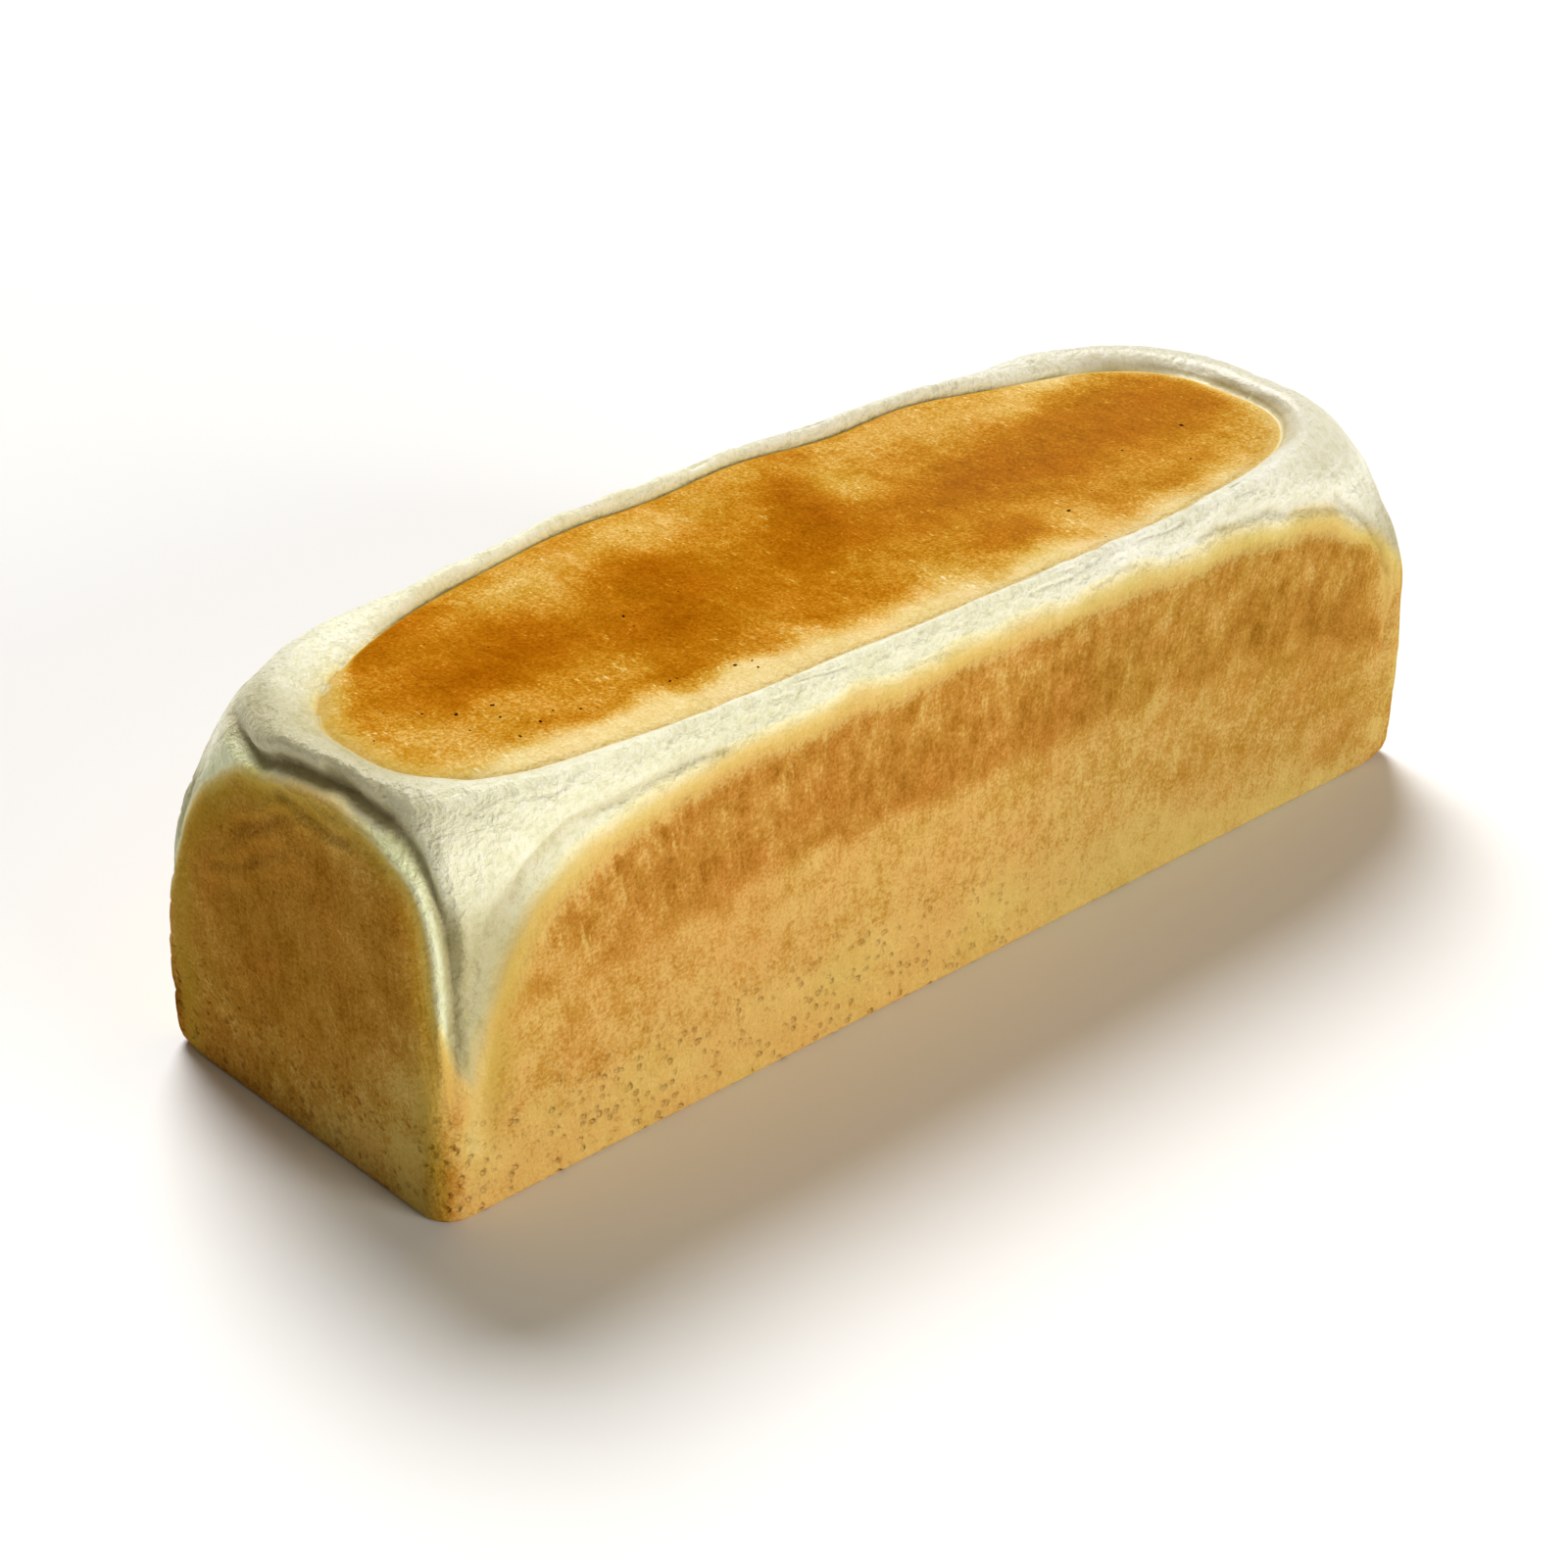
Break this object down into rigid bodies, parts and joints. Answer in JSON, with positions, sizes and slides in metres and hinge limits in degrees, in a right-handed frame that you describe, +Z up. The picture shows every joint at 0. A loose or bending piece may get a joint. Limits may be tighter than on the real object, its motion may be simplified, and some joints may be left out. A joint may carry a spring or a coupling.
{
  "type": "tin loaf",
  "caption": "Uncut white loaf baked under a lid in a long straight tin: flat brown top and walls, pale soft shoulders and corners with creases.",
  "frame": {"origin": "middle of the flat base, where the loaf rests", "axes": "+X along the loaf's length, +Y across it, +Z up"},
  "size_m": [0.3156, 0.1013, 0.0969],
  "materials": {
    "crust": "matte baked crust, brown on the flats and cream on the shoulders"
  },
  "bodies": {
    "root": {"loaf": "crust"}
  },
  "joints": []
}
